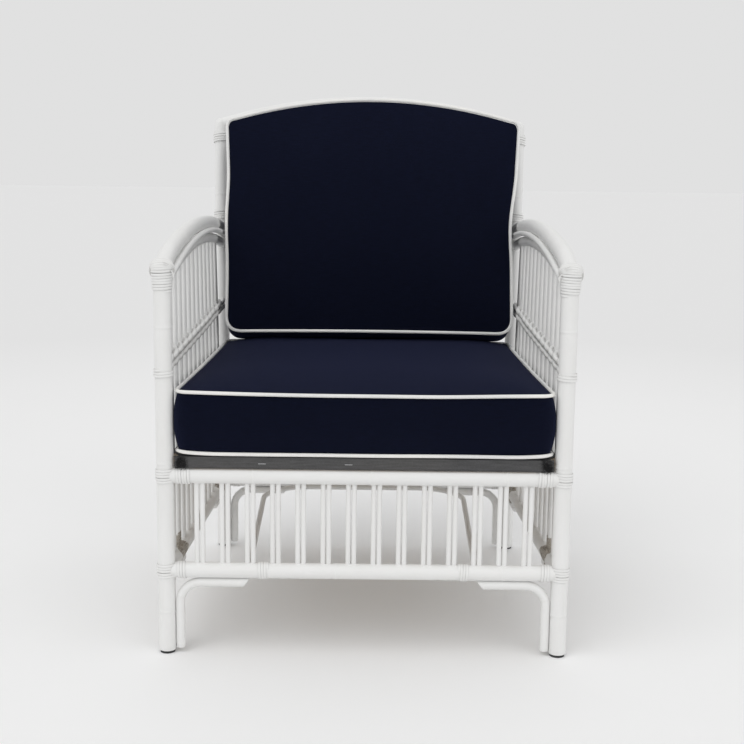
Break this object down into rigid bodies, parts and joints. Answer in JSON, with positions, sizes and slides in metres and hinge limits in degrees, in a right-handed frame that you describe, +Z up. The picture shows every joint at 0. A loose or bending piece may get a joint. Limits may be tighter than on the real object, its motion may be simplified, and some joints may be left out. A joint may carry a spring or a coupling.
{
  "type": "rattan armchair",
  "caption": "Painted rattan armchair: pole frame with an arched spindle back, bowed arms over spindle sides, cane-wrapped joints and loose boxed seat and back cushions with piping.",
  "frame": {"origin": "middle of the chair's footprint on the floor, below the middle of its bounding box", "axes": "+Z up, the chair faces -Y, +X towards the sitter's left"},
  "size_m": [0.6764, 0.7202, 0.9269],
  "materials": {
    "painted_rattan": "worn satin white paint over rattan poles",
    "painted_cane": "white paint over split cane wrapping",
    "cushion_cloth": "navy plain-weave canvas",
    "piping": "off-white cotton-covered cord",
    "foam": "soft open-cell filling",
    "deck_cloth": "grey woven lining cloth, frayed at its ends",
    "panel": "bare plywood",
    "dowel": "bare fluted beech",
    "steel": "zinc-plated wire and screws",
    "glide": "black moulded nail-on glide"
  },
  "bodies": {
    "frame": {"arm_back_lashings": "painted_cane", "arm_front_lashings": "painted_cane", "back_apron_spindles": "painted_rattan", "back_brackets": "painted_rattan", "back_left_post": "painted_rattan", "back_lower_rail": "painted_rattan", "back_right_post": "painted_rattan", "back_spindles": "painted_rattan", "back_top_lashings": "painted_cane", "back_top_rail": "painted_rattan", "back_upper_rail": "painted_rattan", "bracket_nails": "steel", "cloth_staples": "steel", "foot_glides": "glide", "front_apron_spindles": "painted_rattan", "front_brackets": "painted_rattan", "front_left_post": "painted_rattan", "front_lower_rail": "painted_rattan", "front_right_post": "painted_rattan", "front_upper_rail": "painted_rattan", "left_apron_spindles": "painted_rattan", "left_arm_band": "painted_rattan", "left_arm_filler_pole": "painted_rattan", "left_arm_pole": "painted_rattan", "left_arm_spindles": "painted_rattan", "left_arm_under_pole": "painted_rattan", "left_brackets": "painted_rattan", "left_lower_rail": "painted_rattan", "left_upper_rail": "painted_rattan", "lower_post_lashings": "painted_cane", "lower_rail_lashings": "painted_cane", "post_ring_lashings": "painted_cane", "rail_dowels": "dowel", "right_apron_spindles": "painted_rattan", "right_arm_band": "painted_rattan", "right_arm_filler_pole": "painted_rattan", "right_arm_pole": "painted_rattan", "right_arm_spindles": "painted_rattan", "right_arm_under_pole": "painted_rattan", "right_brackets": "painted_rattan", "right_lower_rail": "painted_rattan", "right_upper_rail": "painted_rattan", "seat_panel": "panel", "seat_panel_cloth": "deck_cloth", "seat_panel_screws": "steel", "seat_stretcher": "painted_rattan", "stretcher_lashings": "painted_cane", "upper_post_lashings": "painted_cane", "upper_rail_lashings": "painted_cane"},
    "seat_cushion": {"seat_cushion_cover": "cushion_cloth", "seat_cushion_foam": "foam", "seat_cushion_low_piping": "piping", "seat_cushion_top_piping": "piping"},
    "back_cushion": {"back_cushion_cover": "cushion_cloth", "back_cushion_foam": "foam", "back_cushion_front_piping": "piping", "back_cushion_rear_piping": "piping"}
  },
  "joints": [
    {"name": "seat_cushion_slide", "type": "slide", "parent": "frame", "child": "seat_cushion", "axis": [0, -1, 0], "range_m": [0, 0.15]},
    {"name": "back_cushion_lift", "type": "slide", "parent": "frame", "child": "back_cushion", "axis": [0, -0.9863, 0.165], "range_m": [0, 0.15]}
  ]
}
